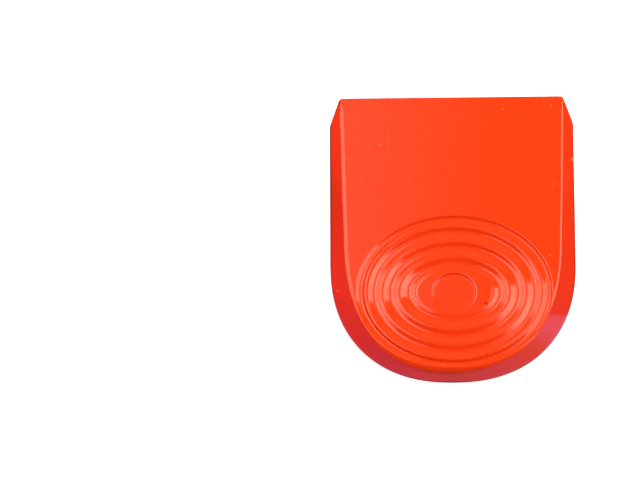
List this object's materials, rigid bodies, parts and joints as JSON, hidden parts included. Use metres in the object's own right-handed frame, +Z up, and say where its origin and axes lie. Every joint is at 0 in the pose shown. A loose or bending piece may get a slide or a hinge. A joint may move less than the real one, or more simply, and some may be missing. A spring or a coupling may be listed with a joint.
{
  "type": "heel pad",
  "caption": "Wedge-shaped shoe heel pad: a moulded elastomer body with oval shock-absorbing ribs under the heel, and woven cloth bonded to its flat foot side.",
  "frame": {"origin": "under the middle of the pad, on the cloth face that it lies on", "axes": "+Y along the pad towards its straight front edge, +Z up out of the moulded underside, +X to the right"},
  "size_m": [0.066, 0.0768, 0.008],
  "materials": {
    "elastomer": "smooth moulded, glossy orange-red",
    "cover_cloth": "printed plain weave, matt"
  },
  "bodies": {
    "root": {"moulded_pad": "elastomer", "fabric_cover": "cover_cloth"}
  },
  "joints": []
}
